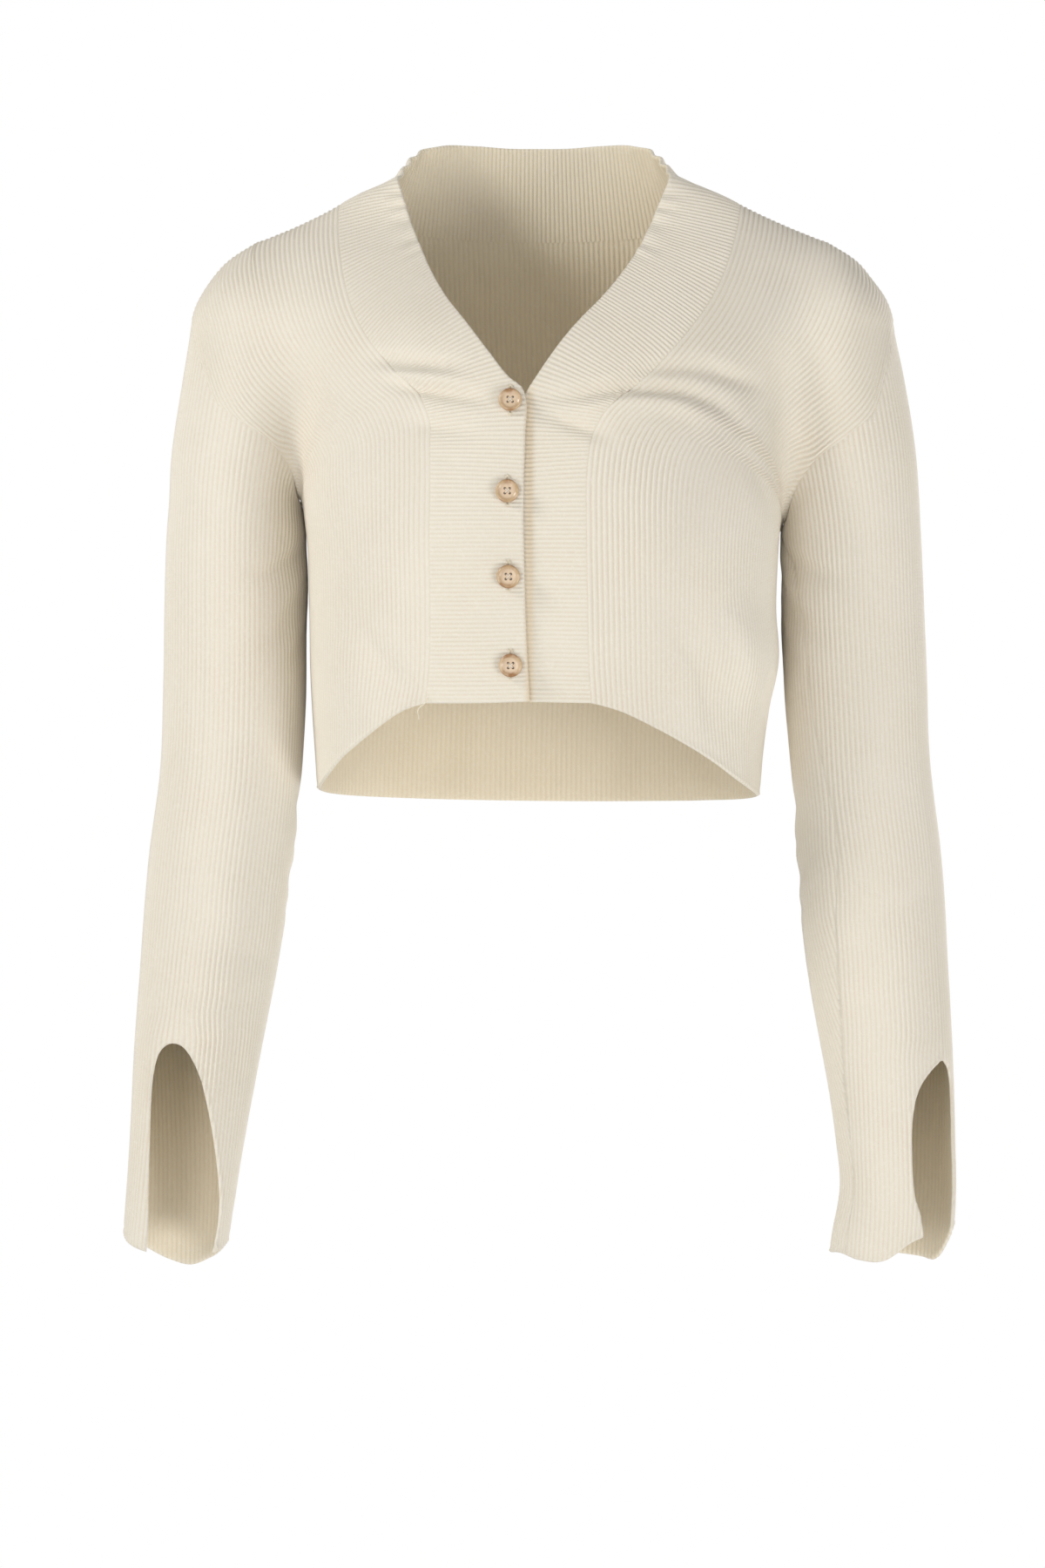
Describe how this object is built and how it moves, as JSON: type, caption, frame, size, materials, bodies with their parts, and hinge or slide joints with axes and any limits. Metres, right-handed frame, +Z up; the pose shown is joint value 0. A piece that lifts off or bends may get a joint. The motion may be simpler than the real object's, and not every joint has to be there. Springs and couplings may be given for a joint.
{
  "type": "cardigan",
  "caption": "Cropped V-neck cardigan in fine rib knit with a buttoned band round hem to neck, dropped shoulders and long sleeves slit at the cuffs, hollow as worn.",
  "frame": {"origin": "middle of the neck opening, at the height of the shoulder seams where they meet the band", "axes": "+Z up along the body, -Y out of the front, +X towards the wearer's left"},
  "size_m": [0.4733, 0.2098, 0.649],
  "materials": {
    "fronts": "matte",
    "back": "matte",
    "sleeves": "matte",
    "bands": "matte",
    "buttons": "satin"
  },
  "bodies": {
    "root": {"front_right": "fronts", "front_left": "fronts", "back": "back", "sleeve_right": "sleeves", "sleeve_left": "sleeves", "band_right": "bands", "band_left": "bands", "button_1": "buttons", "button_2": "buttons", "button_3": "buttons", "button_4": "buttons"}
  },
  "joints": []
}
